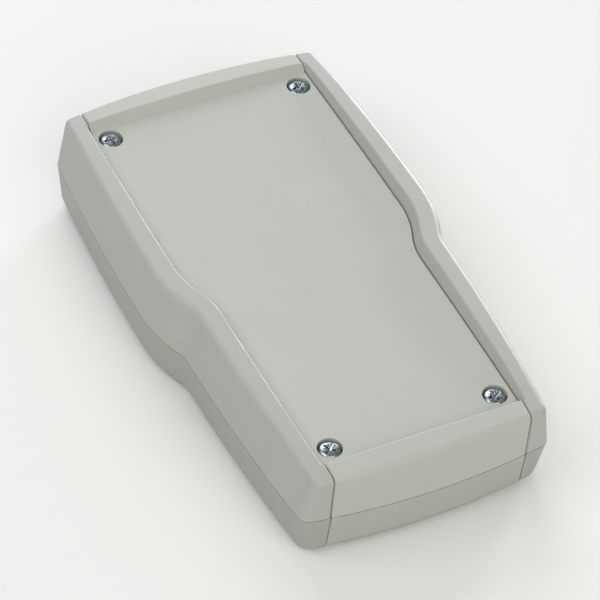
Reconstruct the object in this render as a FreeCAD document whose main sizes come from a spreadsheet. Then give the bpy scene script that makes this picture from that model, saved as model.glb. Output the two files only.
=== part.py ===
import FreeCAD, Part
import math
import os
import Sketcher

# Handheld plastic enclosure, lying on its back.
# Origin at the middle of the underside, X across, Y towards the wide end, Z up.

os.makedirs("parts", exist_ok=True)
doc = FreeCAD.newDocument("HandheldEnclosure")
sheet = doc.addObject("Spreadsheet::Sheet", "Sizes")

SIZES = [
    ("case_length", "143.4", "overall length over the two convex ends"),
    ("head_width", "82.4", "greatest width of the wide end, at the parting plane"),
    ("handle_width", "74", "greatest width of the narrow end, at the parting plane"),
    ("parting_height", "13.8", "underside to parting plane"),
    ("panel_height", "25.9", "underside to the sunk face"),
    ("end_radius", "195", "plan radius of the convex ends"),
    ("top_end_radius", "430", "plan radius of the ends, above the crown"),
    ("head_bow", "600", "plan radius of the sides of the wide end"),
    ("handle_bow", "560", "plan radius of the sides of the narrow end"),
    ("corner_radius", "3", "plan radius of the corners at the parting plane"),
    ("top_corner_radius", "2", "plan radius of the corners at the top of the flanks"),
    ("bottom_corner_radius", "5.5", "plan radius of the corners at the underside"),
    ("shoulder_place", "8.9", "where the shoulder bend starts, from mid length"),
    ("shoulder_radius", "28", "shoulder bend at the edge of the sunk face"),
    ("waist_radius", "19.8", "waist bend at the edge of the sunk face"),
    ("flank_slope", "10.5", "upper flank at the sides, degrees from upright"),
    ("end_slope", "3", "upper flank at the ends, degrees from upright"),
    ("under_slope", "5", "lower flank, degrees from upright"),
    ("under_rounding", "4.5", "rounding of the lower edges"),
    ("face_head_width", "63", "sunk face width at the wide end"),
    ("face_handle_width", "54.6", "sunk face width at the narrow end"),
    ("face_length", "125.3", "sunk face length at its floor"),
    ("face_bow", "2480", "plan radius of the sides of the sunk face"),
    ("side_wall_slope", "27", "wall beside the sunk face, degrees from upright"),
    ("end_wall_slope", "40", "wall at the ends of the sunk face, degrees from upright"),
    ("crown_rise", "4.1", "apex of the crowned top over the sunk face"),
    ("crown_cross_radius", "705", "crown across, in the middle"),
    ("crown_cross_knee", "22", "where the crown across gets tighter"),
    ("crown_edge_radius", "250", "crown across, beyond the knee"),
    ("crown_long_radius", "2000", "crown along, in the middle"),
    ("crown_long_knee", "52", "where the crown along gets tighter"),
    ("crown_end_radius", "200", "crown along, beyond the knee"),
    ("crease_radius", "1.6", "soft edge between top strip and flank"),
    ("edge_radius", "0.5", "rounding of the inner edge of the top strip"),
    ("seam_gap", "0.3", "gap between shells and side grips"),
    ("shadow_height", "0.2", "groove round the outside above the parting plane"),
    ("shadow_depth", "0.4", "groove round the outside above the parting plane"),
    ("wall", "2", "wall of shells and grips"),
    ("panel_thickness", "2.5", "thickness of the sunk face"),
    ("screw_rows", "117.3", "distance between the two rows of screws"),
    ("far_screw_spacing", "54.2", "screw spacing at the wide end"),
    ("near_screw_spacing", "45.2", "screw spacing at the narrow end"),
    ("screw_head_width", "5.6", "pan head"),
    ("screw_head_height", "2.2", "pan head"),
    ("screw_head_rounding", "1.2", "pan head"),
    ("screw_core", "2.3", "root of the cut thread"),
    ("screw_point", "1.8", "tapered end of the screw"),
    ("screw_length", "16", "under the head"),
    ("cross_span", "2.9", "cross recess, over two wings"),
    ("cross_wing", "0.8", "cross recess, width of a wing"),
    ("cross_foot_span", "1.45", "cross recess at its foot, over two wings"),
    ("cross_foot_wing", "0.56", "cross recess at its foot, width of a wing"),
    ("cross_depth", "1.4", "cross recess"),
    ("screw_hole", "3.2", "clearance hole in the upper shell"),
    ("pilot_hole", "2.4", "hole in the screw boss"),
    ("pilot_room", "0.5", "hole in the screw boss, below the point of the screw"),
    ("counterbore_width", "6.4", "counterbore round the screw head"),
    ("counterbore_depth", "3", "sunk face to the seat of the screw head"),
    ("sleeve_width", "9.4", "screw sleeve round the counterbore"),
    ("boss_width", "7", "screw boss, and the sleeve below the counterbore"),
    ("tongue_width", "0.9", "tongue along the parting plane"),
    ("tongue_height", "1", "tongue along the parting plane"),
    ("fit_clearance", "0.15", "clearance of tongue, clips and windows"),
    ("clip_width", "8", "snap clip of a side grip"),
    ("clip_height", "2.2", "snap clip of a side grip"),
    ("clip_reach", "1.6", "how far a clip passes the shell wall"),
    ("clip_slack", "0.4", "gap between the hook of a clip and the shell wall"),
    ("clip_hook", "0.8", "height of the hook behind the shell wall"),
    ("upper_clip_height", "18.2", "underside to the upper clips"),
    ("lower_clip_height", "6.4", "underside to the lower clips"),
    ("outer_clip_place", "47", "mid length to the outer clips"),
    ("inner_clip_place", "25", "mid length to the inner clips"),
    ("rib_thickness", "1.2", "stiffening ribs"),
    ("rib_pitch", "24", "ribs of a side grip"),
    ("rib_drop", "2", "ribs end this far from the parting plane"),
    ("standoff_across", "40", "fixing holes for a circuit board"),
    ("standoff_along", "76", "fixing holes for a circuit board"),
    ("standoff_width", "6", "standoff for a circuit board"),
    ("standoff_top", "7", "underside to the circuit board"),
    ("standoff_hole", "2", "hole in a standoff or post"),
    ("post_across", "34", "posts behind the sunk face"),
    ("post_along", "92", "posts behind the sunk face"),
    ("post_width", "5", "posts behind the sunk face"),
    ("post_length", "3", "posts behind the sunk face"),
]
for row, (alias, number, note) in enumerate(SIZES, start=1):
    sheet.set("A%d" % row, alias)
    sheet.set("B%d" % row, number)
    sheet.set("C%d" % row, note)
    sheet.setAlias("B%d" % row, alias)
doc.recompute()


class Size:
    """A length that knows its number and the sheet formula it comes from."""

    def __init__(self, number, formula):
        self.number = number
        self.formula = formula

    def join(self, other, sign, number):
        return Size(number, "(%s %s %s)" % (self.formula, sign, other.formula))

    def __add__(self, other):
        other = as_size(other)
        return self.join(other, "+", self.number + other.number)

    def __sub__(self, other):
        other = as_size(other)
        return self.join(other, "-", self.number - other.number)

    def __mul__(self, other):
        other = as_size(other)
        return self.join(other, "*", self.number * other.number)

    def __truediv__(self, other):
        other = as_size(other)
        return self.join(other, "/", self.number / other.number)


def as_size(value):
    if isinstance(value, Size):
        return value
    return Size(float(value), repr(value))


def size(alias):
    return Size(float(sheet.get(alias)), "Sizes." + alias)


def slope_of(alias):
    angle = size(alias)
    return Size(math.tan(math.radians(angle.number)), "tan(%s * 1deg)" % angle.formula)


def cosine_of(alias):
    angle = size(alias)
    return Size(math.cos(math.radians(angle.number)), "cos(%s * 1deg)" % angle.formula)


def plane_of(body, role):
    for feature in body.Origin.OriginFeatures:
        if feature.Role == role:
            return feature
    raise RuntimeError("no plane " + role)


def new_body(name):
    return doc.addObject("PartDesign::Body", name)


def new_sketch(body, name, role="XY_Plane", offset=None):
    sketch = body.newObject("Sketcher::SketchObject", name)
    sketch.AttachmentSupport = [(plane_of(body, role), "")]
    sketch.MapMode = "FlatFace"
    if offset is not None:
        sketch.setExpression("AttachmentOffset.Base.z", offset.formula)
    return sketch


# Points of a sketch: start, end and centre of an edge, and the origin with its two axes
START, END, CENTRE = 1, 2, 3
ORIGIN = (-1, 1)
HORIZONTAL_AXIS, VERTICAL_AXIS = -1, -2


def drive(sketch, kind, *spec):
    """Adds a dimension whose last item is a Size and binds it to the sheet."""
    value = spec[-1]
    index = sketch.addConstraint(Sketcher.Constraint(kind, *spec[:-1], value.number))
    sketch.setExpression("Constraints[%d]" % index, value.formula)


def relate(sketch, kind, *spec):
    sketch.addConstraint(Sketcher.Constraint(kind, *spec))


def pin(sketch, edge, end, across, along):
    """Binds an end of an edge to a place given by two sizes."""
    for kind, axis, value in (("DistanceX", VERTICAL_AXIS, across), ("DistanceY", HORIZONTAL_AXIS, along)):
        if value.number == 0:
            relate(sketch, "PointOnObject", edge, end, axis)
        elif value.number > 0:
            drive(sketch, kind, *ORIGIN, edge, end, value)
        else:
            drive(sketch, kind, edge, end, *ORIGIN, as_size(0) - value)


def draw_polygon(sketch, corners):
    """Closed outline through corners that are pairs of sizes."""
    following = corners[1:] + corners[:1]
    edges = []
    for here, there in zip(corners, following):
        edges.append(add_line(sketch, (here[0].number, here[1].number), (there[0].number, there[1].number)))
    for place, edge in enumerate(edges):
        relate(sketch, "Coincident", edges[place - 1], END, edge, START)
        pin(sketch, edge, START, *corners[place])


def polar(centre, point):
    return math.atan2(point[1] - centre[1], point[0] - centre[0])


def add_arc(sketch, centre, radius, first, last):
    """Adds the arc that runs counter-clockwise from first to last."""
    circle = Part.Circle(FreeCAD.Vector(centre[0], centre[1], 0), FreeCAD.Vector(0, 0, 1), radius)
    return sketch.addGeometry(Part.ArcOfCircle(circle, polar(centre, first), polar(centre, last)))


def add_line(sketch, first, last):
    start = FreeCAD.Vector(first[0], first[1], 0)
    end = FreeCAD.Vector(last[0], last[1], 0)
    return sketch.addGeometry(Part.LineSegment(start, end))


def towards(start, target, distance):
    length = math.hypot(target[0] - start[0], target[1] - start[1])
    return (start[0] + (target[0] - start[0]) * distance / length,
            start[1] + (target[1] - start[1]) * distance / length)


def circles_meet(centre_a, radius_a, centre_b, radius_b):
    """The meeting point of two circles that lies furthest along +X."""
    gap = math.hypot(centre_b[0] - centre_a[0], centre_b[1] - centre_a[1])
    along = (gap ** 2 + radius_a ** 2 - radius_b ** 2) / (2 * gap)
    height = math.sqrt(radius_a ** 2 - along ** 2)
    foot = towards(centre_a, centre_b, along)
    step_x = (centre_b[0] - centre_a[0]) / gap * height
    step_y = (centre_b[1] - centre_a[1]) / gap * height
    points = [(foot[0] - step_y, foot[1] + step_x), (foot[0] + step_y, foot[1] - step_x)]
    return max(points)


class Plan:
    """Right half of a plan outline: two bowed sides joined by the shoulder and waist bends."""

    def __init__(self, head_half, handle_half, grown, head_bow, handle_bow):
        self.head_half = head_half
        self.handle_half = handle_half
        self.shoulder_radius = size("shoulder_radius") + grown
        self.waist_radius = size("waist_radius") - grown
        self.head_bow = head_bow
        self.handle_bow = handle_bow
        self.shoulder = size("shoulder_place")

    def points(self):
        head, handle = self.head_half.number, self.handle_half.number
        convex, concave = self.shoulder_radius.number, self.waist_radius.number
        start = (head, self.shoulder.number)
        shoulder_centre = (head - convex, self.shoulder.number)
        across = handle + concave - shoulder_centre[0]
        waist_y = self.shoulder.number - math.sqrt((convex + concave) ** 2 - across ** 2)
        waist_centre = (handle + concave, waist_y)
        return {
            "start": start,
            "shoulder_centre": shoulder_centre,
            "swing": towards(shoulder_centre, waist_centre, convex),
            "waist_centre": waist_centre,
            "finish": (handle, waist_y),
            "head_centre": (head - self.head_bow.number, start[1]),
            "handle_centre": (handle - self.handle_bow.number, waist_y),
        }


def draw_sides(sketch, plan, head_top, handle_end):
    """Draws the four side arcs; gives the head arc and handle arc indexes."""
    at = plan.points()
    head = add_arc(sketch, at["head_centre"], plan.head_bow.number, at["start"], head_top)
    shoulder = add_arc(sketch, at["shoulder_centre"], plan.shoulder_radius.number, at["swing"], at["start"])
    waist = add_arc(sketch, at["waist_centre"], plan.waist_radius.number, at["swing"], at["finish"])
    handle = add_arc(sketch, at["handle_centre"], plan.handle_bow.number, handle_end, at["finish"])
    relate(sketch, "Tangent", head, START, shoulder, END)
    relate(sketch, "Tangent", shoulder, START, waist, START)
    relate(sketch, "Tangent", waist, END, handle, END)
    relate(sketch, "Horizontal", shoulder, CENTRE, shoulder, END)
    relate(sketch, "Horizontal", waist, CENTRE, waist, END)
    drive(sketch, "Radius", head, plan.head_bow)
    drive(sketch, "Radius", shoulder, plan.shoulder_radius)
    drive(sketch, "Radius", waist, plan.waist_radius)
    drive(sketch, "Radius", handle, plan.handle_bow)
    drive(sketch, "DistanceX", *ORIGIN, shoulder, END, plan.head_half)
    drive(sketch, "DistanceY", *ORIGIN, shoulder, END, plan.shoulder)
    drive(sketch, "DistanceX", *ORIGIN, waist, END, plan.handle_half)
    return head, handle


def draw_arched_outline(sketch, plan, half_length, end_radius, corner):
    """Half outline of the case: bowed sides, rounded corners and convex ends."""
    at = plan.points()
    reach, bend, round_off = half_length.number, end_radius.number, corner.number
    far_centre = (0.0, reach - bend)
    near_centre = (0.0, bend - reach)
    head_bend = plan.head_bow.number - round_off
    handle_bend = plan.handle_bow.number - round_off
    far_corner = circles_meet(far_centre, bend - round_off, at["head_centre"], head_bend)
    near_corner = circles_meet(near_centre, bend - round_off, at["handle_centre"], handle_bend)
    far_side = towards(at["head_centre"], far_corner, plan.head_bow.number)
    near_side = towards(at["handle_centre"], near_corner, plan.handle_bow.number)
    far_end = towards(far_centre, far_corner, bend)
    near_end = towards(near_centre, near_corner, bend)
    head, handle = draw_sides(sketch, plan, far_side, near_side)
    far_round = add_arc(sketch, far_corner, round_off, far_side, far_end)
    near_round = add_arc(sketch, near_corner, round_off, near_end, near_side)
    far = add_arc(sketch, far_centre, bend, far_end, (0.0, reach))
    near = add_arc(sketch, near_centre, bend, (0.0, -reach), near_end)
    axis = add_line(sketch, (0.0, reach), (0.0, -reach))
    relate(sketch, "Tangent", head, END, far_round, START)
    relate(sketch, "Tangent", far_round, END, far, START)
    relate(sketch, "Tangent", handle, START, near_round, END)
    relate(sketch, "Tangent", near_round, START, near, END)
    relate(sketch, "Coincident", far, END, axis, START)
    relate(sketch, "Coincident", near, START, axis, END)
    relate(sketch, "PointOnObject", axis, START, VERTICAL_AXIS)
    relate(sketch, "PointOnObject", axis, END, VERTICAL_AXIS)
    relate(sketch, "PointOnObject", far, CENTRE, VERTICAL_AXIS)
    relate(sketch, "PointOnObject", near, CENTRE, VERTICAL_AXIS)
    drive(sketch, "Radius", far_round, corner)
    drive(sketch, "Radius", near_round, corner)
    drive(sketch, "Radius", far, end_radius)
    drive(sketch, "Radius", near, end_radius)
    drive(sketch, "DistanceY", *ORIGIN, axis, START, half_length)
    drive(sketch, "DistanceY", axis, END, *ORIGIN, half_length)


def draw_square_outline(sketch, plan, half_length):
    """Half outline with straight ends, as the sunk face and the seam have."""
    at = plan.points()
    reach = half_length.number

    def on_side(centre, radius, height):
        return (centre[0] + math.sqrt(radius ** 2 - (height - centre[1]) ** 2), height)

    far_corner = on_side(at["head_centre"], plan.head_bow.number, reach)
    near_corner = on_side(at["handle_centre"], plan.handle_bow.number, -reach)
    head, handle = draw_sides(sketch, plan, far_corner, near_corner)
    far = add_line(sketch, (0.0, reach), far_corner)
    near = add_line(sketch, near_corner, (0.0, -reach))
    axis = add_line(sketch, (0.0, reach), (0.0, -reach))
    relate(sketch, "Coincident", head, END, far, END)
    relate(sketch, "Coincident", handle, START, near, START)
    relate(sketch, "Coincident", far, START, axis, START)
    relate(sketch, "Coincident", near, END, axis, END)
    relate(sketch, "Horizontal", far)
    relate(sketch, "Horizontal", near)
    relate(sketch, "PointOnObject", axis, START, VERTICAL_AXIS)
    relate(sketch, "PointOnObject", axis, END, VERTICAL_AXIS)
    drive(sketch, "DistanceY", *ORIGIN, axis, START, half_length)
    drive(sketch, "DistanceY", axis, END, *ORIGIN, half_length)


# Plans of the case and of the seam between the centre shells and the side grips
def case_plan(inset):
    """Outer outline of the case, its sides drawn in by a distance."""
    depth = size("head_width") / 2 - size("face_head_width") / 2
    return Plan(size("head_width") / 2 - inset, size("handle_width") / 2 - inset, depth - inset,
                size("head_bow") - inset, size("handle_bow") - inset)


def face_plan(grown):
    """Edge of the sunk face, which is also the seam, moved outwards by a distance."""
    bow = size("face_bow") + grown
    return Plan(size("face_head_width") / 2 + grown, size("face_handle_width") / 2 + grown,
                as_size(0) + grown, bow, bow)


def case_outline(body, name, height, insets, end_radius, corner):
    """Half outline of the case at a height; insets are those of the sides and of the ends."""
    side_inset, end_inset = insets
    half_length = size("case_length") / 2 - end_inset
    sketch = new_sketch(body, name, offset=height)
    draw_arched_outline(sketch, case_plan(side_inset), half_length, end_radius, corner)
    return sketch


def square_outline(body, name, height, grown, half_length):
    sketch = new_sketch(body, name, offset=height)
    draw_square_outline(sketch, face_plan(grown), half_length)
    return sketch


def ruled_loft(body, name, first, second, kind="Additive"):
    loft = body.newObject("PartDesign::%sLoft" % kind, name)
    loft.Profile = (first, [""])
    loft.Sections = [(second, [""])]
    loft.Ruled = True
    body.Tip = loft
    return loft


# Operations between shapes
def combine(kind, name, base, tool):
    result = doc.addObject("Part::" + kind, name)
    result.Base = base
    result.Tool = tool
    return result


def cut(name, base, tool):
    return combine("Cut", name, base, tool)


def common(name, base, tool):
    return combine("Common", name, base, tool)


def fuse(name, parts):
    result = doc.addObject("Part::MultiFuse", name)
    result.Shapes = parts
    result.Refine = True
    return result


def mirrored(name, source):
    result = doc.addObject("Part::Mirroring", name)
    result.Source = source
    result.Base = FreeCAD.Vector(0, 0, 0)
    result.Normal = FreeCAD.Vector(1, 0, 0)
    return result


def place(item, across, along, height):
    for axis, value in (("x", across), ("y", along), ("z", height)):
        item.setExpression("Placement.Base." + axis, value.formula)


def cylinder(name, width, spot, foot, top):
    item = doc.addObject("Part::Cylinder", name)
    item.setExpression("Radius", (width / 2).formula)
    item.setExpression("Height", (top - foot).formula)
    place(item, spot[0], spot[1], foot)
    return item


def block(name, across, along, height):
    """Box between two sizes on each axis."""
    item = doc.addObject("Part::Box", name)
    for side, (low, high) in (("Length", across), ("Width", along), ("Height", height)):
        item.setExpression(side, (high - low).formula)
    place(item, across[0], along[0], height[0])
    return item


# Heights and distances that several pieces share
TOUCH = 0.01
NONE = as_size(0)
OVERLAP = as_size(1)
BEYOND = as_size(5)
PARTING = size("parting_height")
FACE = size("panel_height")
BACK = FACE - size("panel_thickness")
SEAT = FACE - size("counterbore_depth")
APEX = FACE + size("crown_rise")
FORM_TOP = APEX + OVERLAP * 2
SKY = FORM_TOP + BEYOND
HALF_LENGTH = size("case_length") / 2
HALF_FACE = size("face_length") / 2
WALL = size("wall")
GAP = size("seam_gap")
FIT = size("fit_clearance")


# The crowned top: a cross-section with a flat middle and tighter edges, swept along a like line
def draw_crown_line(sketch, apex, middle, knee, edge, reach, side):
    """A flat arc from the apex to the knee, then a tighter arc down to the reach."""
    top = (0.0, apex.number)
    middle_centre = (0.0, apex.number - middle.number)
    drop = middle.number - math.sqrt(middle.number ** 2 - knee.number ** 2)
    knee_point = (side * knee.number, apex.number - drop)
    edge_centre = towards(knee_point, middle_centre, edge.number)
    fall = math.sqrt(edge.number ** 2 - (side * reach.number - edge_centre[0]) ** 2)
    far_point = (side * reach.number, edge_centre[1] + fall)
    if side > 0:
        inner = add_arc(sketch, middle_centre, middle.number, knee_point, top)
        outer = add_arc(sketch, edge_centre, edge.number, far_point, knee_point)
        top_end, knee_end, knee_start, far_end = END, START, END, START
    else:
        inner = add_arc(sketch, middle_centre, middle.number, top, knee_point)
        outer = add_arc(sketch, edge_centre, edge.number, knee_point, far_point)
        top_end, knee_end, knee_start, far_end = START, END, START, END
    relate(sketch, "PointOnObject", inner, top_end, VERTICAL_AXIS)
    relate(sketch, "PointOnObject", inner, CENTRE, VERTICAL_AXIS)
    relate(sketch, "Tangent", inner, knee_end, outer, knee_start)
    drive(sketch, "Radius", inner, middle)
    drive(sketch, "Radius", outer, edge)
    drive(sketch, "DistanceY", *ORIGIN, inner, top_end, apex)
    for arc, end, value in ((inner, knee_end, knee), (outer, far_end, reach)):
        if side > 0:
            drive(sketch, "DistanceX", *ORIGIN, arc, end, value)
        else:
            drive(sketch, "DistanceX", arc, end, *ORIGIN, value)
    return inner, outer, far_point


CROWN_SHARE = 0.7


def crown_section(body, apex):
    """Cross-section of the space above the crowned top, right half; it ends well outside the flank."""
    reach = size("head_width") * CROWN_SHARE
    sketch = new_sketch(body, "crown_section", "XZ_Plane")
    inner, outer, far_point = draw_crown_line(sketch, apex, size("crown_cross_radius"),
                                              size("crown_cross_knee"), size("crown_edge_radius"), reach, 1)
    far_x, far_z = far_point
    side = add_line(sketch, (far_x, far_z), (far_x, SKY.number))
    lid = add_line(sketch, (far_x, SKY.number), (0.0, SKY.number))
    axis = add_line(sketch, (0.0, SKY.number), (0.0, apex.number))
    relate(sketch, "Coincident", outer, START, side, START)
    relate(sketch, "Coincident", side, END, lid, START)
    relate(sketch, "Coincident", lid, END, axis, START)
    relate(sketch, "Coincident", axis, END, inner, END)
    relate(sketch, "Vertical", side)
    relate(sketch, "Horizontal", lid)
    relate(sketch, "Vertical", axis)
    drive(sketch, "DistanceY", *ORIGIN, lid, START, SKY)
    return sketch


def cut_crown(body, apex):
    """Takes away what stands above the crowned top, from mid length to each end."""
    section = crown_section(body, apex)
    reach = HALF_LENGTH + BEYOND
    for name, side in (("far", 1), ("near", -1)):
        spine = new_sketch(body, name + "_crown_line", "YZ_Plane")
        draw_crown_line(spine, apex, size("crown_long_radius"), size("crown_long_knee"),
                        size("crown_end_radius"), reach, side)
        pipe = body.newObject("PartDesign::SubtractivePipe", name + "_crown")
        pipe.Profile = (section, [""])
        pipe.Spine = (spine, ["Edge1", "Edge2"])
        body.Tip = pipe


def round_edges(body, name, edges, radius):
    base = body.Tip
    rounding = body.newObject("PartDesign::Fillet", name)
    rounding.Base = (base, ["Edge%d" % number for number in edges])
    rounding.setExpression("Radius", radius.formula)
    body.Tip = rounding
    doc.recompute()


def rim_edges(shape, lowest):
    """Edges above a height where the nearly level top meets a flank or wall."""
    level, steep = 0.9, 0.8
    found = []
    for number, edge in enumerate(shape.Edges, start=1):
        box = edge.BoundBox
        if box.ZMin < lowest or box.XMax < TOUCH:
            continue
        middle = edge.valueAt((edge.FirstParameter + edge.LastParameter) / 2)
        rises = []
        for face in shape.ancestorsOfType(edge, Part.Face):
            u, v = face.Surface.parameter(middle)
            rises.append(abs(face.normalAt(u, v).z))
        if max(rises) > level and min(rises) < steep:
            found.append(number)
    return found


# Solid forms, right half: the case above and below the parting plane, and the space over the sunk face
def slab(name, inset, height):
    """Plate on the parting plane with the outline of the case, drawn in by a distance."""
    body = new_body(name)
    outline = case_outline(body, name + "_outline", PARTING, (inset, inset), size("end_radius") - inset,
                           size("corner_radius") - inset)
    pad = body.newObject("PartDesign::Pad", name + "_pad")
    pad.Profile = outline
    pad.setExpression("Length", height.formula)
    body.Tip = pad
    return body


def shadow_line():
    """Narrow groove round the outside, on top of the parting plane."""
    height = size("shadow_height")
    across = (NONE - BEYOND, size("head_width"))
    along = (NONE - HALF_LENGTH - BEYOND, HALF_LENGTH + BEYOND)
    band = block("shadow_band", across, along, (PARTING, PARTING + height))
    return cut("shadow_line", band, slab("shadow_core", size("shadow_depth"), height))


def upper_block(name, inset):
    """The case above the parting plane, drawn in by a wall, under the crown."""
    body = new_body(name)
    side_inset = inset / cosine_of("flank_slope")
    end_inset = inset / cosine_of("end_slope")
    side_lean = slope_of("flank_slope") * (FORM_TOP - PARTING)
    end_lean = slope_of("end_slope") * (FORM_TOP - PARTING)
    foot = case_outline(body, name + "_parting", PARTING, (side_inset, end_inset),
                        size("end_radius") - end_inset, size("corner_radius") - inset)
    top = case_outline(body, name + "_top", FORM_TOP, (side_inset + side_lean, end_inset + end_lean),
                       size("top_end_radius") - end_inset, size("top_corner_radius"))
    ruled_loft(body, name + "_flanks", foot, top)
    cut_crown(body, APEX - inset)
    doc.recompute()
    return body


def lower_block(name, inset, floor):
    """The case below the parting plane, drawn in by a wall, with rounded lower edges."""
    body = new_body(name)
    lean = slope_of("under_slope") * (PARTING - floor)
    top = case_outline(body, name + "_parting", PARTING, (inset, inset), size("end_radius") - inset,
                       size("corner_radius") - inset)
    foot = case_outline(body, name + "_underside", floor, (inset + lean, inset + lean),
                        size("end_radius") - inset - lean, size("bottom_corner_radius") - inset)
    ruled_loft(body, name + "_flanks", top, foot)
    doc.recompute()
    edges = []
    for number, edge in enumerate(body.Tip.Shape.Edges, start=1):
        if edge.BoundBox.ZMax < floor.number + TOUCH and edge.BoundBox.XMax > TOUCH:
            edges.append(number)
    round_edges(body, name + "_rounding", edges, size("under_rounding") - inset)
    return body


def face_space(name, side_grown, end_grown, floor):
    """The space over the sunk face between its sloping walls, moved outwards by two distances."""
    body = new_body(name)
    rise = SKY - floor
    sides = side_grown + slope_of("side_wall_slope") * rise
    ends = HALF_FACE + end_grown + slope_of("end_wall_slope") * rise
    foot = square_outline(body, name + "_floor", floor, side_grown, HALF_FACE + end_grown)
    top = square_outline(body, name + "_top", SKY, sides, ends)
    ruled_loft(body, name + "_walls", foot, top)
    return body


def seam_block(name, grown):
    """Everything between the two seams, moved outwards by a distance."""
    body = new_body(name)
    below = NONE - BEYOND
    outline = square_outline(body, name + "_outline", below, grown, HALF_LENGTH + BEYOND)
    pad = body.newObject("PartDesign::Pad", name + "_pad")
    pad.Profile = outline
    pad.setExpression("Length", (SKY - below).formula)
    body.Tip = pad
    return body


def creased_block():
    """Upper case with the soft crease between its top and its flanks."""
    body = upper_block("creased_form", NONE)
    round_edges(body, "crease", rim_edges(body.Tip.Shape, (PARTING + BEYOND).number), size("crease_radius"))
    return body


def face_shield():
    """The space over the sunk face together with the thickness of its floor and walls."""
    thickness = size("panel_thickness")
    sides = WALL / cosine_of("side_wall_slope") - slope_of("side_wall_slope") * thickness
    ends = WALL / cosine_of("end_wall_slope") - slope_of("end_wall_slope") * thickness
    return face_space("face_shield", sides, ends, BACK)


def sunk(name, blank):
    """Sinks the face into a blank and rounds the crisp inner edge round it."""
    hollowed = cut(name + "_sharp", blank, sunk_space)
    doc.recompute()
    rounded = doc.addObject("Part::Fillet", name)
    rounded.Base = hollowed
    radius = size("edge_radius").number
    edges = rim_edges(hollowed.Shape, FACE.number + TOUCH)
    rounded.Edges = [(number, radius, radius) for number in edges]
    return rounded


upper_form = cut("upper_form", creased_block(), shadow_line())
lower_form = lower_block("lower_form", NONE, NONE)
sunk_space = face_space("sunk_space", NONE, NONE, FACE)
upper_core = cut("upper_core", upper_block("upper_inside", WALL), face_shield())
lower_core = lower_block("lower_core", WALL, WALL)

# The centre shells end at the seam and have their side walls inside it;
# the side grips start beyond the gap and have their own walls outside it
seam = seam_block("seam", NONE)
seam_inside = seam_block("seam_inside", NONE - WALL)
grip_edge = seam_block("grip_edge", GAP)
grip_inside = seam_block("grip_inside", GAP + WALL)

# Places of the screws, right half
FAR_SCREW = (size("far_screw_spacing") / 2, size("screw_rows") / 2)
NEAR_SCREW = (size("near_screw_spacing") / 2, NONE - size("screw_rows") / 2)
SCREWS = (("far", FAR_SCREW, HALF_LENGTH), ("near", NEAR_SCREW, NONE - HALF_LENGTH))

# Places of the snap clips, right half: seam half width and distance from mid length
HEAD_SEAM = size("face_head_width") / 2
HANDLE_SEAM = size("face_handle_width") / 2
CLIPS = (
    ("far_outer", HEAD_SEAM, size("outer_clip_place")),
    ("far_inner", HEAD_SEAM, size("inner_clip_place")),
    ("near_inner", HANDLE_SEAM, NONE - size("inner_clip_place")),
    ("near_outer", HANDLE_SEAM, NONE - size("outer_clip_place")),
)


def gusset(name, spot, end, height):
    """Rib from a screw boss to the end wall."""
    half = size("rib_thickness") / 2
    along = (spot[1], end) if end.number > 0 else (end, spot[1])
    return block(name, (spot[0] - half, spot[0] + half), along, height)


def windows(prefix, level):
    """Openings in the side wall of a shell, as high as a clip with its hook."""
    found = []
    half = size("clip_width") / 2 + FIT
    low = level - size("clip_hook") - FIT
    high = level + size("clip_height") + FIT
    for name, half_seam, along in CLIPS:
        across = (half_seam - WALL - OVERLAP, half_seam + OVERLAP)
        found.append(block(prefix + name, across, (along - half, along + half), (low, high)))
    return found


def clips(prefix, level):
    """Snap clips on the inner wall of a side grip, each a tab with a hook."""
    found = []
    half = size("clip_width") / 2
    top = level + size("clip_height")
    for name, half_seam, along in CLIPS:
        wall_face = half_seam - WALL
        tip = wall_face - size("clip_reach")
        tab = (tip, half_seam + GAP + WALL / 2)
        hook = (tip, wall_face - size("clip_slack"))
        breadth = (along - half, along + half)
        found.append(block(prefix + name + "_tab", tab, breadth, (level, top)))
        found.append(block(prefix + name + "_hook", hook, breadth, (level, top + size("clip_hook"))))
    return found


def lip(name, inset, height):
    """Band on the parting plane, from a distance behind the outside to the inside of the walls."""
    plate = slab(name + "_case", inset, height)
    band = common(name + "_band", plate, seam_block(name + "_seam", NONE - inset))
    return cut(name, band, upper_hollow)


def both_halves(name, half):
    return fuse(name, [half, mirrored(name + "_other_half", half)])


# Upper shell: sunk face, end strips, side walls, screw sleeves, posts and the rebate for the tongue
def upper_shell_half():
    inside = []
    taken = windows("upper_window_", size("upper_clip_height"))
    hole_foot, hole_top = PARTING - OVERLAP, SEAT + OVERLAP
    for name, spot, end in SCREWS:
        inside.append(cylinder(name + "_sleeve", size("sleeve_width"), spot, SEAT - WALL, FACE))
        inside.append(cylinder(name + "_stem", size("boss_width"), spot, PARTING, SEAT))
        inside.append(gusset(name + "_upper_gusset", spot, end, (PARTING + size("rib_drop"), FACE)))
        taken.append(cylinder(name + "_counterbore", size("counterbore_width"), spot, SEAT, FACE + OVERLAP))
        taken.append(cylinder(name + "_screw_hole", size("screw_hole"), spot, hole_foot, hole_top))
    for name, along in (("far", size("post_along") / 2), ("near", NONE - size("post_along") / 2)):
        spot = (size("post_across") / 2, along)
        foot = BACK - size("post_length")
        inside.append(cylinder(name + "_post", size("post_width"), spot, foot, FACE))
        taken.append(cylinder(name + "_post_hole", size("standoff_hole"), spot, foot - OVERLAP, BACK))
    taken.append(cut("upper_space", upper_hollow, fuse("upper_fittings", inside)))
    taken.append(lip("rebate", WALL - size("tongue_width") - FIT, size("tongue_height") + FIT))
    middle = sunk("upper_middle", common("upper_middle_blank", upper_form, seam))
    return cut("upper_half", middle, fuse("upper_cuts", taken))


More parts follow.
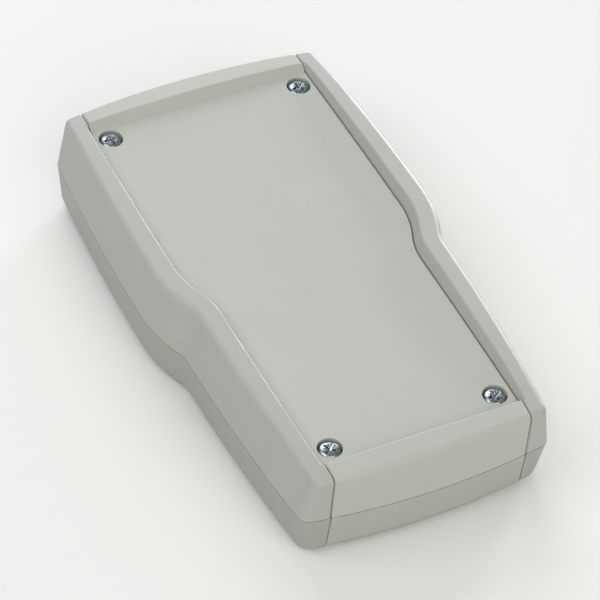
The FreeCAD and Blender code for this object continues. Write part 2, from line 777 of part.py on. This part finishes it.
# Lower shell: floor, side walls, screw bosses, board standoffs and the tongue
def lower_shell_half():
    inside = []
    taken = windows("lower_window_", size("lower_clip_height"))
    pilot_foot = SEAT - size("screw_length") - size("pilot_room")
    board = size("standoff_top")
    for name, spot, end in SCREWS:
        inside.append(cylinder(name + "_boss", size("boss_width"), spot, NONE, PARTING))
        inside.append(gusset(name + "_lower_gusset", spot, end, (NONE, PARTING - size("rib_drop"))))
        taken.append(cylinder(name + "_pilot", size("pilot_hole"), spot, pilot_foot, PARTING + OVERLAP))
    for name, along in (("far", size("standoff_along") / 2), ("near", NONE - size("standoff_along") / 2)):
        spot = (size("standoff_across") / 2, along)
        inside.append(cylinder(name + "_standoff", size("standoff_width"), spot, NONE, board))
        taken.append(cylinder(name + "_standoff_hole", size("standoff_hole"), spot, WALL, board + OVERLAP))
    taken.append(cut("lower_space", lower_hollow, fuse("lower_fittings", inside)))
    tray = cut("lower_tray", common("lower_middle", lower_form, seam), fuse("lower_cuts", taken))
    return fuse("lower_half", [tray, lip("tongue", WALL - size("tongue_width"), size("tongue_height"))])


# Side grips: hollow mouldings with cross ribs, clipped into the windows of the shells
RIBS = 6


def grip_ribs(prefix, height):
    found = []
    half = size("rib_thickness") / 2
    across = (NONE, size("head_width"))
    for number in range(RIBS):
        along = size("rib_pitch") * (number - (RIBS - 1) / 2)
        found.append(block("%srib_%d" % (prefix, number + 1), across, (along - half, along + half), height))
    return fuse(prefix + "ribs", found)


def right_grip(name, body, core, ribs, level):
    inside = cut(name + "_inside", core, grip_inside)
    shell = cut(name + "_moulding", body, cut(name + "_space", inside, ribs))
    return fuse(name, [shell] + clips(name + "_", level))


# Screws: pan heads with a cross recess, standing in their bosses
def cross_outline(body, name, height, span, wing):
    """Cross of four equal wings, each a quarter turn from the last."""
    sketch = new_sketch(body, name, offset=height)
    tip, side = span / 2, wing / 2
    arm = [(tip, side), (side, side), (side, tip)]
    corners = []
    for _ in range(4):
        corners += arm
        arm = [(NONE - along, across) for across, along in arm]
    draw_polygon(sketch, corners)
    return sketch


def screw(name, spot):
    """Screw on its seat; the thread is given by its root."""
    body = new_body(name)
    head, core, top = size("screw_head_width") / 2, size("screw_core") / 2, size("screw_head_height")
    tip = NONE - size("screw_length")
    tip_half = core / 4
    profile = new_sketch(body, name + "_profile", "XZ_Plane")
    draw_polygon(profile, [(NONE, tip), (tip_half, tip), (core, tip + size("screw_point")), (core, NONE),
                           (head, NONE), (head, top), (NONE, top)])
    turned = body.newObject("PartDesign::Revolution", name + "_turned")
    turned.Profile = profile
    turned.ReferenceAxis = (profile, ["V_Axis"])
    turned.Angle = 360
    body.Tip = turned
    doc.recompute()
    rim = []
    for number, edge in enumerate(turned.Shape.Edges, start=1):
        box = edge.BoundBox
        if box.ZMin > top.number - TOUCH and box.XMax > head.number - TOUCH and box.XLength > head.number:
            rim.append(number)
    round_edges(body, name + "_dome", rim, size("screw_head_rounding"))
    mouth = cross_outline(body, name + "_cross_mouth", top, size("cross_span"), size("cross_wing"))
    foot = cross_outline(body, name + "_cross_foot", top - size("cross_depth"), size("cross_foot_span"),
                         size("cross_foot_wing"))
    ruled_loft(body, name + "_cross", mouth, foot, "Subtractive")
    place(body, spot[0], spot[1], SEAT)
    return body


def case_screws():
    found = []
    for name, spot, _ in SCREWS:
        found.append(screw(name + "_right_screw", spot))
        found.append(screw(name + "_left_screw", (NONE - spot[0], spot[1])))
    group = doc.addObject("Part::Compound", "case_screws")
    group.Links = found
    return group


upper_hollow = common("upper_hollow", upper_core, seam_inside)
lower_hollow = common("lower_hollow", lower_core, seam_inside)
upper_ribs = grip_ribs("upper_", (PARTING + size("rib_drop"), SKY))
lower_ribs = grip_ribs("lower_", (NONE, PARTING - size("rib_drop")))
upper_side = sunk("upper_side", cut("upper_side_blank", upper_form, grip_edge))
lower_side = cut("lower_side", lower_form, grip_edge)
right_upper_grip = right_grip("right_upper_grip", upper_side, upper_core, upper_ribs,
                              size("upper_clip_height"))
right_lower_grip = right_grip("right_lower_grip", lower_side, lower_core, lower_ribs,
                              size("lower_clip_height"))

nodes = [
    both_halves("upper_shell", upper_shell_half()),
    both_halves("lower_shell", lower_shell_half()),
    right_upper_grip,
    right_lower_grip,
    mirrored("left_upper_grip", right_upper_grip),
    mirrored("left_lower_grip", right_lower_grip),
    case_screws(),
]
doc.recompute()

faulty = [item.Label for item in doc.Objects if "Invalid" in item.State or "Error" in item.State]
for node in nodes:
    if node.Shape.isNull() or not node.Shape.isValid() or not node.Shape.Solids:
        faulty.append(node.Label)
if faulty:
    raise RuntimeError("not built: " + ", ".join(faulty))
for node in nodes:
    node.Shape.exportStep("parts/%s.step" % node.Label)
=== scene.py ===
import math
import bmesh
import bpy
from mathutils import Matrix, Vector


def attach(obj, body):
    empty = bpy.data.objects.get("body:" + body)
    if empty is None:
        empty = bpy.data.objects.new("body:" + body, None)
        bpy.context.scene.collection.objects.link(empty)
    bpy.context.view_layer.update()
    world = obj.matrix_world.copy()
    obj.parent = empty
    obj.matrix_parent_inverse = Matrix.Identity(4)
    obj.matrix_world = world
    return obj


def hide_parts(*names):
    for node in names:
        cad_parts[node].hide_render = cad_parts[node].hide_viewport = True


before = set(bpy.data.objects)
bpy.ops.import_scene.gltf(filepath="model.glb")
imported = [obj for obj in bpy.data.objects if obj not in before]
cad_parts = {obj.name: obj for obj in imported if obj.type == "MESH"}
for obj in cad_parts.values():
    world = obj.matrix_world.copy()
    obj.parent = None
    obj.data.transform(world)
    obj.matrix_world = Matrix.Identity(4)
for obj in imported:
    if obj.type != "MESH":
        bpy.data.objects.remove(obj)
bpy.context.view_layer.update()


# Centre shells: an upper and a lower shell injection moulded in light warm grey ABS.
# They meet on the parting plane with a tongue in a rebate, and the upper one carries the sunk face.
# The mould is spark eroded all over, so there is no polished spot.
MM = 0.001
FLOW_WIDTH, DRAWN_GRAIN = 18 * MM, 0.45 * MM
FLOW_SHARE, GRAIN_SHARE, TONE_BASE, DARKEST_AT = 0.5, 0.55, 0.2, 0.45
GLOSS_SPREAD = 0.12
GRAIN_STRENGTH, GRAIN_HEIGHT = 0.35, 0.03 * MM
GROOVE_MID, GROOVE_REACH, GROOVE_SHADE = 13.9 * MM, 0.14 * MM, "#AEA68D"
# Painted light in the side joints: the hidden upright walls of the shells are drawn lighter and warmer.
JOINT_FROM, JOINT_TAPER, JOINT_STEEP, JOINT_PAINTED_LIGHT = 28, 0.04, 0.85, "#D8D0BE"
SHELL_ROUGHNESS = 0.54


def linear_colour(hex_code):
    """sRGB hex to linear RGBA."""
    channels = []
    for start in (1, 3, 5):
        value = int(hex_code[start:start + 2], 16) / 255
        channels.append(value / 12.92 if value <= 0.04045 else ((value + 0.055) / 1.055) ** 2.4)
    return (*channels, 1.0)


def add_node(tree, kind, settings=None, inputs=None, links=None):
    """Adds one node, sets its properties and sockets, and links its inputs to other nodes' outputs."""
    node = tree.nodes.new(kind)
    for name, value in (settings or {}).items():
        setattr(node, name, value)
    for name, value in (inputs or {}).items():
        node.inputs[name].default_value = value
    for name, (source, output) in (links or {}).items():
        tree.links.new(source.outputs[output], node.inputs[name])
    return node


def new_material(name):
    """An empty node material."""
    material = bpy.data.materials.new(name)
    material.use_nodes = True
    material.node_tree.nodes.clear()
    return material


def dress(node_name, material):
    """Puts one material on every slot of a CAD node."""
    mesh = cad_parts[node_name].data
    if not mesh.materials:
        mesh.materials.append(material)
    for slot in range(len(mesh.materials)):
        mesh.materials[slot] = material


def moulded_abs(name, light_hex, dark_hex, roughness, joint_from):
    """Spark-eroded ABS: a matt skin with a broad weak sheen, a fine grain and a faint flow of tone.

    The real grain is near 0.1 mm; it is drawn at 0.45 mm so that it shows in the picture.
    Upright walls past joint_from mm lie in the side joints. They are drawn lighter and warmer than the
    plastic, as painted light that stands in for the light getting into the joints."""
    material = new_material(name)
    tree = material.node_tree
    place = add_node(tree, "ShaderNodeTexCoord")
    flow = add_node(tree, "ShaderNodeTexNoise",
                    inputs={"Scale": 1 / FLOW_WIDTH, "Detail": 3.0, "Roughness": 0.55},
                    links={"Vector": (place, "Object")})
    grain = add_node(tree, "ShaderNodeTexNoise",
                     inputs={"Scale": 1 / DRAWN_GRAIN, "Detail": 2.0, "Roughness": 0.6},
                     links={"Vector": (place, "Object")})
    tone = add_node(tree, "ShaderNodeMath", {"operation": "MULTIPLY_ADD"},
                    {1: GRAIN_SHARE, 2: TONE_BASE}, {0: (grain, "Fac")})
    blend = add_node(tree, "ShaderNodeMath", {"operation": "MULTIPLY_ADD"}, {1: FLOW_SHARE},
                     {0: (flow, "Fac"), 2: (tone, 0)})
    ramp = add_node(tree, "ShaderNodeValToRGB", links={"Fac": (blend, 0)})
    stops = ((DARKEST_AT, dark_hex), (1.0, light_hex))
    for element, (position, hex_code) in zip(ramp.color_ramp.elements, stops):
        element.position, element.color = position, linear_colour(hex_code)

    # The shadow groove over the parting plane, 0.2 mm high, looks slightly brown in the photograph.
    height = add_node(tree, "ShaderNodeSeparateXYZ", links={"Vector": (place, "Object")})
    groove = add_node(tree, "ShaderNodeMath", {"operation": "COMPARE"},
                      {1: GROOVE_MID, 2: GROOVE_REACH}, {0: (height, "Z")})
    grooved = add_node(tree, "ShaderNodeMixRGB", inputs={"Color2": linear_colour(GROOVE_SHADE)},
                       links={"Fac": (groove, 0), "Color1": (ramp, "Color")})

    # Painted light: the joint walls, the steep ones beyond the counterbores (which lie nearer the
    # middle), are mixed to a lighter warm colour.
    facing = add_node(tree, "ShaderNodeSeparateXYZ", links={"Vector": (place, "Normal")})
    turned = add_node(tree, "ShaderNodeMath", {"operation": "ABSOLUTE"}, links={0: (facing, "X")})
    upright = add_node(tree, "ShaderNodeMath", {"operation": "GREATER_THAN"}, {1: JOINT_STEEP},
                       {0: (turned, 0)})
    aside = add_node(tree, "ShaderNodeMath", {"operation": "ABSOLUTE"}, links={0: (height, "X")})
    reach = add_node(tree, "ShaderNodeMath", {"operation": "MULTIPLY_ADD"}, {1: -JOINT_TAPER},
                     {0: (height, "Y"), 2: (aside, 0)})
    beyond = add_node(tree, "ShaderNodeMath", {"operation": "GREATER_THAN"}, {1: joint_from * MM},
                      {0: (reach, 0)})
    joint = add_node(tree, "ShaderNodeMath", {"operation": "MULTIPLY"},
                     links={0: (upright, 0), 1: (beyond, 0)})
    colour = add_node(tree, "ShaderNodeMixRGB", inputs={"Color2": linear_colour(JOINT_PAINTED_LIGHT)},
                      links={"Fac": (joint, 0), "Color1": (grooved, "Color")})

    bump = add_node(tree, "ShaderNodeBump",
                    inputs={"Strength": GRAIN_STRENGTH, "Distance": GRAIN_HEIGHT},
                    links={"Height": (grain, "Fac")})
    gloss = add_node(tree, "ShaderNodeMath", {"operation": "MULTIPLY_ADD"},
                     {1: GLOSS_SPREAD, 2: roughness - GLOSS_SPREAD / 2}, {0: (flow, "Fac")})
    skin = add_node(tree, "ShaderNodeBsdfPrincipled",
                    inputs={"IOR": 1.53, "Specular IOR Level": 0.4},
                    links={"Base Color": (colour, "Color"), "Roughness": (gloss, 0),
                           "Normal": (bump, "Normal")})
    add_node(tree, "ShaderNodeOutputMaterial", links={"Surface": (skin, "BSDF")})
    return material


# The lower shell is the same plastic drawn a touch darker, as painted shade on its downward-turned
# walls. The lower shell is drawn a touch darker, as it looks in the photograph, where the plastic
# and the light can't be told apart.
dress("upper_shell",
      moulded_abs("spark_eroded_warm_grey_abs", "#B7BBB4", "#AFB3AC", SHELL_ROUGHNESS, JOINT_FROM))
dress("lower_shell",
      moulded_abs("spark_eroded_warm_grey_abs_lower_painted_shade", "#AFB2AA", "#A7AAA2", SHELL_ROUGHNESS,
                  JOINT_FROM))


# Side grips: hollow mouldings of the same family of plastic in a slightly cooler grey.
# They clip into windows in the side walls of the shells, and the lower ones are drawn a touch darker
# too, as painted shade.
# Their steep walls are outer flanks, so PAST_THE_CASE keeps the painted joint light off them.
GRIP_ROUGHNESS, PAST_THE_CASE = 0.46, 99
upper_grip_abs = moulded_abs("spark_eroded_cool_grey_abs", "#ADB1AB", "#A6AAA4", GRIP_ROUGHNESS,
                             PAST_THE_CASE)
lower_grip_abs_painted_shade = moulded_abs("spark_eroded_cool_grey_abs_lower_painted_shade", "#A4A7A1", "#9DA09A",
                             GRIP_ROUGHNESS, PAST_THE_CASE)
for side in ("right", "left"):
    dress(side + "_upper_grip", upper_grip_abs)
    dress(side + "_lower_grip", lower_grip_abs_painted_shade)


# Case screws: self-tapping pan heads of bright zinc plated steel, driven into the bosses of the
# lower shell. The heads stand almost level with the sunk face, and the cross recess has four short
# ticks between its wings. Each screw ends at its own turn. All sizes here are in mm.
SCREW_SPOTS_AND_TURNS = ((27.1, 58.65, 0.35), (-27.1, 58.65, 0.1),
                         (22.6, -58.65, 0.2), (-22.6, -58.65, 0.6))
SEAT, HEAD_HALF, HEAD_HEIGHT, RIM_HEIGHT = 22.9, 2.8, 3.1, 1.9
CORE_HALF, LENGTH, POINT_LENGTH, POINT_HALF = 1.15, 16.0, 1.8, 0.3
DOME_SPREAD, DOME_FALL = 1.15, 0.7
DOME_STEPS, SPIN_STEPS = 44, 128
WING_LENGTH, WING_HALF, WING_DEPTH = 1.85, 0.36, 1.7
TICK_LENGTH, TICK_HALF, TICK_DEPTH = 1.6, 0.14, 0.9
PIT_HALF, PIT_DEPTH = 1.15, 1.5
WALL_WIDTH, BOTTOM_CURVE = 0.12, 0.8
RECESS_HALF = 2.2
PLATING_SPOT, PLATING_STRENGTH, PLATING_HEIGHT = 0.7 * MM, 0.6, 0.06 * MM
SMOOTH_BELOW = math.radians(40)


def zinc_plate():
    """Bright zinc on steel: clear cool reflections, with an unevenness drawn at about 0.7 mm."""
    material = new_material("bright_zinc_plated_steel")
    tree = material.node_tree
    place = add_node(tree, "ShaderNodeTexCoord")
    spots = add_node(tree, "ShaderNodeTexNoise",
                     inputs={"Scale": 1 / PLATING_SPOT, "Detail": 3.0, "Roughness": 0.6},
                     links={"Vector": (place, "Object")})
    ramp = add_node(tree, "ShaderNodeValToRGB", links={"Fac": (spots, "Fac")})
    stops = ((0.3, "#7F898D"), (0.7, "#B9C3C7"))
    for element, (position, hex_code) in zip(ramp.color_ramp.elements, stops):
        element.position, element.color = position, linear_colour(hex_code)
    gloss = add_node(tree, "ShaderNodeMath", {"operation": "MULTIPLY_ADD"}, {1: 0.2, 2: 0.12},
                     {0: (spots, "Fac")})
    bump = add_node(tree, "ShaderNodeBump",
                    inputs={"Strength": PLATING_STRENGTH, "Distance": PLATING_HEIGHT},
                    links={"Height": (spots, "Fac")})
    metal = add_node(tree, "ShaderNodeBsdfPrincipled", inputs={"Metallic": 1.0},
                     links={"Base Color": (ramp, "Color"), "Roughness": (gloss, 0),
                            "Normal": (bump, "Normal")})
    add_node(tree, "ShaderNodeOutputMaterial", links={"Surface": (metal, "BSDF")})
    return material


def wing_depth(along, across, length, half_width, depth):
    """Depth of one pair of wings of the recess: deepest in the middle, with steep side walls."""
    wall = min(max((half_width - abs(across)) / WALL_WIDTH + 0.5, 0.0), 1.0)
    return depth * max(1.0 - abs(along) / length, 0.0) ** BOTTOM_CURVE * wall


def recess_depth(x, y):
    """Depth of the cross recess: four wings, four ticks at 45 degrees and a round pit."""
    ahead, aside = (x + y) * math.sqrt(0.5), (y - x) * math.sqrt(0.5)
    return max(wing_depth(x, y, WING_LENGTH, WING_HALF, WING_DEPTH),
               wing_depth(y, x, WING_LENGTH, WING_HALF, WING_DEPTH),
               wing_depth(ahead, aside, TICK_LENGTH, TICK_HALF, TICK_DEPTH),
               wing_depth(aside, ahead, TICK_LENGTH, TICK_HALF, TICK_DEPTH),
               PIT_DEPTH * max(1.0 - math.hypot(x, y) / PIT_HALF, 0.0))


def add_screw(form, spot_x, spot_y, turn):
    """Spins the outline of a screw about its axis and sinks the recess into its head."""
    outline = []
    for step in range(DOME_STEPS + 1):
        swing = step / DOME_STEPS * math.pi / 2
        radius = HEAD_HALF * math.sin(swing) ** DOME_SPREAD
        height = RIM_HEIGHT + (HEAD_HEIGHT - RIM_HEIGHT) * math.cos(swing) ** DOME_FALL
        outline.append((radius, height))
    outline += [(HEAD_HALF, 0.0), (CORE_HALF, 0.0), (CORE_HALF, POINT_LENGTH - LENGTH),
                (POINT_HALF, -LENGTH), (0.0, -LENGTH)]
    verts = [form.verts.new((spot_x + radius, spot_y, SEAT + height)) for radius, height in outline]
    edges = [form.edges.new(pair) for pair in zip(verts, verts[1:])]
    before = set(form.verts) - set(verts)
    bmesh.ops.spin(form, geom=verts + edges, cent=(spot_x, spot_y, 0), axis=(0, 0, 1),
                   angle=math.tau, steps=SPIN_STEPS, use_merge=True)
    for vert in set(form.verts) - before:
        x, y = vert.co.x - spot_x, vert.co.y - spot_y
        if vert.co.z > SEAT + RIM_HEIGHT and math.hypot(x, y) < RECESS_HALF:
            along = x * math.cos(turn) + y * math.sin(turn)
            across = y * math.cos(turn) - x * math.sin(turn)
            vert.co.z -= recess_depth(along, across)


screw_form = bmesh.new()
for spot_x, spot_y, turn in SCREW_SPOTS_AND_TURNS:
    add_screw(screw_form, spot_x, spot_y, turn)
bmesh.ops.remove_doubles(screw_form, verts=screw_form.verts, dist=0.0005)
bmesh.ops.recalc_face_normals(screw_form, faces=screw_form.faces)
bmesh.ops.scale(screw_form, vec=(MM, MM, MM), verts=screw_form.verts)
screw_mesh = bpy.data.meshes.new("zinc_screws")
screw_form.to_mesh(screw_mesh)
screw_form.free()
screw_mesh.polygons.foreach_set("use_smooth", [True] * len(screw_mesh.polygons))
screw_mesh.set_sharp_from_angle(angle=SMOOTH_BELOW)
screws = bpy.data.objects.new("zinc_screws", screw_mesh)
bpy.context.scene.collection.objects.link(screws)
screw_mesh.materials.append(zinc_plate())
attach(screws, "root")
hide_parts("case_screws")


# Floor: a plain table top with a matt white paint that the case lies on.
# It reaches far past the picture, so no edge of it shows from any side.
TABLE_HALF, CLOUDS_PER_METRE = 3.0, 6.0


def table_top():
    """Matt white paint: no sheen, and a hardly visible cloud of tone."""
    material = new_material("matt_white_table")
    tree = material.node_tree
    place = add_node(tree, "ShaderNodeTexCoord")
    cloud = add_node(tree, "ShaderNodeTexNoise", inputs={"Scale": CLOUDS_PER_METRE},
                     links={"Vector": (place, "Object")})
    ramp = add_node(tree, "ShaderNodeValToRGB", links={"Fac": (cloud, "Fac")})
    for element, hex_code in zip(ramp.color_ramp.elements, ("#E9E9E8", "#ECECEB")):
        element.color = linear_colour(hex_code)
    paint = add_node(tree, "ShaderNodeBsdfPrincipled",
                     inputs={"Roughness": 0.9, "Specular IOR Level": 0.1},
                     links={"Base Color": (ramp, "Color")})
    add_node(tree, "ShaderNodeOutputMaterial", links={"Surface": (paint, "BSDF")})
    return material


floor_form = bmesh.new()
bmesh.ops.create_grid(floor_form, x_segments=1, y_segments=1, size=TABLE_HALF)
floor_mesh = bpy.data.meshes.new("table")
floor_form.to_mesh(floor_mesh)
floor_form.free()
floor = bpy.data.objects.new("table", floor_mesh)
bpy.context.scene.collection.objects.link(floor)
floor_mesh.materials.append(table_top())


# Light: an even white surround and soft square lights behind, on the left and, a little warm, in front.
# A small low one behind on the right draws the thin bright rims along the inner edges.
# The floor throws the light back up, so the lower flanks stay only a little darker than the upper ones.
SURROUND_STRENGTH = 0.33


def soft_light(name, place, target, width, power, colour=(1, 1, 1)):
    """A square area light at place, in metres, turned to target."""
    data = bpy.data.lights.new(name, "AREA")
    data.shape = "SQUARE"
    data.size = width
    data.energy = power
    data.color = colour
    lamp = bpy.data.objects.new(name, data)
    lamp.location = place
    lamp.rotation_euler = (Vector(target) - Vector(place)).to_track_quat("-Z", "Y").to_euler()
    bpy.context.scene.collection.objects.link(lamp)


soft_light("back_light", (0.15, 0.8, 0.62), (0, 0, 0), 0.7, 4.4)
soft_light("left_light", (-0.45, 0.02, 0.6), (0, 0, 0), 0.5, 1.7)
soft_light("front_light", (-0.1, -0.8, 0.6), (0, 0, 0), 1.0, 5.5, (1, 0.97, 0.92))
soft_light("low_light", (0.9, 0.67, 0.14), (0, 0, 0.02), 0.3, 8.4)
world = bpy.data.worlds.new("studio")
bpy.context.scene.world = world
world.use_nodes = True
surround = world.node_tree.nodes["Background"]
surround.inputs["Color"].default_value = (1, 1, 1, 1)
surround.inputs["Strength"].default_value = SURROUND_STRENGTH
bpy.context.scene.view_settings.view_transform = "Standard"


# Camera: a long lens from the front left, above, turned slightly about its own axis.
# The focal length is the one that was fitted to the photograph's frame, in its pixels.
AZIMUTH, ELEVATION, TURN = math.radians(-30.724), math.radians(45.844), math.radians(6.07)
AIM = Vector((-7.37, -11.77, 25.9)) * MM
DISTANCE = 919.5 * MM
FOCAL_PIXELS, FRAME_PIXELS, SENSOR_WIDTH = 3698.8, 600, 36
NEAREST_SEEN = 0.05
back = Vector((math.sin(AZIMUTH) * math.cos(ELEVATION),
               -math.cos(AZIMUTH) * math.cos(ELEVATION),
               math.sin(ELEVATION)))
level = Vector((math.cos(AZIMUTH), math.sin(AZIMUTH), 0))
upright = back.cross(level)
across = math.cos(TURN) * level + math.sin(TURN) * upright
up = math.cos(TURN) * upright - math.sin(TURN) * level
lens = bpy.data.cameras.new("camera")
lens.sensor_width = SENSOR_WIDTH
lens.lens = FOCAL_PIXELS / FRAME_PIXELS * SENSOR_WIDTH
lens.clip_start = NEAREST_SEEN
camera = bpy.data.objects.new("camera", lens)
bpy.context.scene.collection.objects.link(camera)
axes = Matrix((across, up, back)).transposed().to_4x4()
camera.matrix_world = Matrix.Translation(AIM + DISTANCE * back) @ axes
bpy.context.scene.camera = camera
